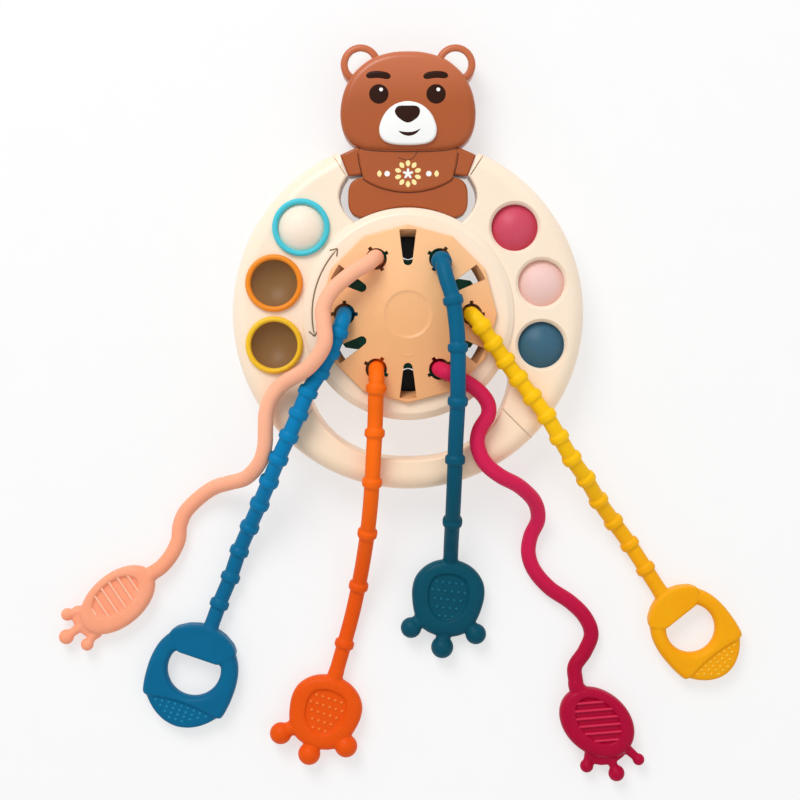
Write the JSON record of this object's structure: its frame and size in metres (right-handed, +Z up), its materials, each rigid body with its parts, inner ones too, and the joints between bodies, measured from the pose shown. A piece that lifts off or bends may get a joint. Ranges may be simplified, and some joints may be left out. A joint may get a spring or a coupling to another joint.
{
  "type": "silicone pull string toy",
  "caption": "Baby's activity toy: a hand ring with a seated bear, a clicking hub that turns, coloured silicone strings with shaped pull tabs that slide through it, and push-through poppers.",
  "frame": {"origin": "on the table under the middle of the box round the ring and the bear, strings and tabs left out", "axes": "+Y from the grip handle to the bear's ears, +Z up out of the front face, with the toy lying on its back"},
  "size_m": [0.3204, 0.3461, 0.0476],
  "materials": {
    "cream": "smooth moulded ABS with a soft sheen",
    "brown": "smooth moulded ABS with a soft sheen",
    "white": "smooth moulded ABS with a soft sheen",
    "cyan rim": "soft satin silicone",
    "amber rim": "soft satin silicone",
    "lemon rim": "soft satin silicone",
    "cream rim": "soft satin silicone",
    "steel": "zinc plated screw",
    "black": "moulded POM",
    "apricot": "smooth moulded ABS with a soft sheen",
    "green": "smooth moulded ABS with a soft sheen",
    "salmon": "soft satin silicone",
    "crimson": "soft satin silicone",
    "blue": "soft satin silicone",
    "yellow": "soft satin silicone",
    "orange": "soft satin silicone",
    "teal": "soft satin silicone",
    "cream dome": "soft satin silicone",
    "brown dome": "soft satin silicone",
    "rose dome": "soft satin silicone",
    "pink dome": "soft satin silicone",
    "slate dome": "soft satin silicone"
  },
  "bodies": {
    "ring": {"front_shell": "cream", "rear_shell": "cream", "grip_handle": "cream", "bear_front_shell": "brown", "bear_rear_shell": "brown", "bear_muzzle": "white", "popper_rim_cyan": "cyan rim", "popper_rim_amber": "amber rim", "popper_rim_lemon": "lemon rim", "popper_rim_rose": "cream rim", "popper_rim_pink": "cream rim", "popper_rim_slate": "cream rim", "shell_screw_1": "steel", "shell_screw_2": "steel", "shell_screw_3": "steel", "shell_screw_4": "steel", "shell_screw_5": "steel", "shell_screw_6": "steel", "click_pawl_upper": "black", "click_pawl_lower": "black"},
    "hub": {"hub_front_cap": "apricot", "hub_rear_cap": "apricot", "click_wheel": "green", "hub_screw_1": "steel", "hub_screw_2": "steel", "hub_screw_3": "steel", "string_salmon": "salmon", "string_crimson": "crimson", "string_blue": "blue", "string_yellow": "yellow", "string_orange": "orange", "string_teal": "teal"},
    "salmon_pull": {"pull_tab_salmon": "salmon"},
    "crimson_pull": {"pull_tab_crimson": "crimson"},
    "blue_pull": {"pull_tab_blue": "blue"},
    "yellow_pull": {"pull_tab_yellow": "yellow"},
    "orange_pull": {"pull_tab_orange": "orange"},
    "teal_pull": {"pull_tab_teal": "teal"},
    "cyan_popper": {"popper_dome_cyan": "cream dome"},
    "amber_popper": {"popper_dome_amber": "brown dome"},
    "lemon_popper": {"popper_dome_lemon": "brown dome"},
    "rose_popper": {"popper_dome_rose": "rose dome"},
    "pink_popper": {"popper_dome_pink": "pink dome"},
    "slate_popper": {"popper_dome_slate": "slate dome"}
  },
  "joints": [
    {"name": "hub_turn", "type": "hinge", "parent": "ring", "child": "hub", "pos_m": [0, -0.0213, 0.0172], "axis": [0, 0, 1], "range_deg": [-90, 90]},
    {"name": "salmon_slide", "type": "slide", "parent": "hub", "child": "salmon_pull", "axis": [-0.6094, -0.7929, 0], "range_m": [-0.03, 0.03], "deforming": ["string_salmon"]},
    {"name": "crimson_slide", "type": "slide", "parent": "hub", "child": "crimson_pull", "axis": [0.4082, -0.9129, 0], "range_m": [-0.03, 0.03], "deforming": ["string_crimson"]},
    {"name": "blue_slide", "type": "slide", "parent": "hub", "child": "blue_pull", "axis": [-0.3954, -0.9185, 0], "range_m": [-0.03, 0.03], "deforming": ["string_blue"]},
    {"name": "yellow_slide", "type": "slide", "parent": "hub", "child": "yellow_pull", "axis": [0.5772, -0.8166, 0], "range_m": [-0.03, 0.03], "deforming": ["string_yellow"]},
    {"name": "orange_slide", "type": "slide", "parent": "hub", "child": "orange_pull", "axis": [-0.1509, -0.9886, 0], "range_m": [-0.03, 0.015], "deforming": ["string_orange"]},
    {"name": "teal_slide", "type": "slide", "parent": "hub", "child": "teal_pull", "axis": [0.0261, -0.9997, 0], "range_m": [-0.015, 0.03], "deforming": ["string_teal"]},
    {"name": "cyan_pop", "type": "slide", "parent": "ring", "child": "cyan_popper", "axis": [0, 0, 1], "range_m": [-0.009, 0]},
    {"name": "amber_pop", "type": "slide", "parent": "ring", "child": "amber_popper", "axis": [0, 0, 1], "range_m": [0, 0.009]},
    {"name": "lemon_pop", "type": "slide", "parent": "ring", "child": "lemon_popper", "axis": [0, 0, 1], "range_m": [0, 0.009]},
    {"name": "rose_pop", "type": "slide", "parent": "ring", "child": "rose_popper", "axis": [0, 0, 1], "range_m": [-0.009, 0]},
    {"name": "pink_pop", "type": "slide", "parent": "ring", "child": "pink_popper", "axis": [0, 0, 1], "range_m": [-0.009, 0]},
    {"name": "slate_pop", "type": "slide", "parent": "ring", "child": "slate_popper", "axis": [0, 0, 1], "range_m": [-0.009, 0]}
  ],
  "couplings": [
    {"joint": "crimson_slide", "follows": "salmon_slide", "ratio": -1},
    {"joint": "yellow_slide", "follows": "blue_slide", "ratio": -1},
    {"joint": "orange_slide", "follows": "teal_slide", "ratio": -1}
  ]
}
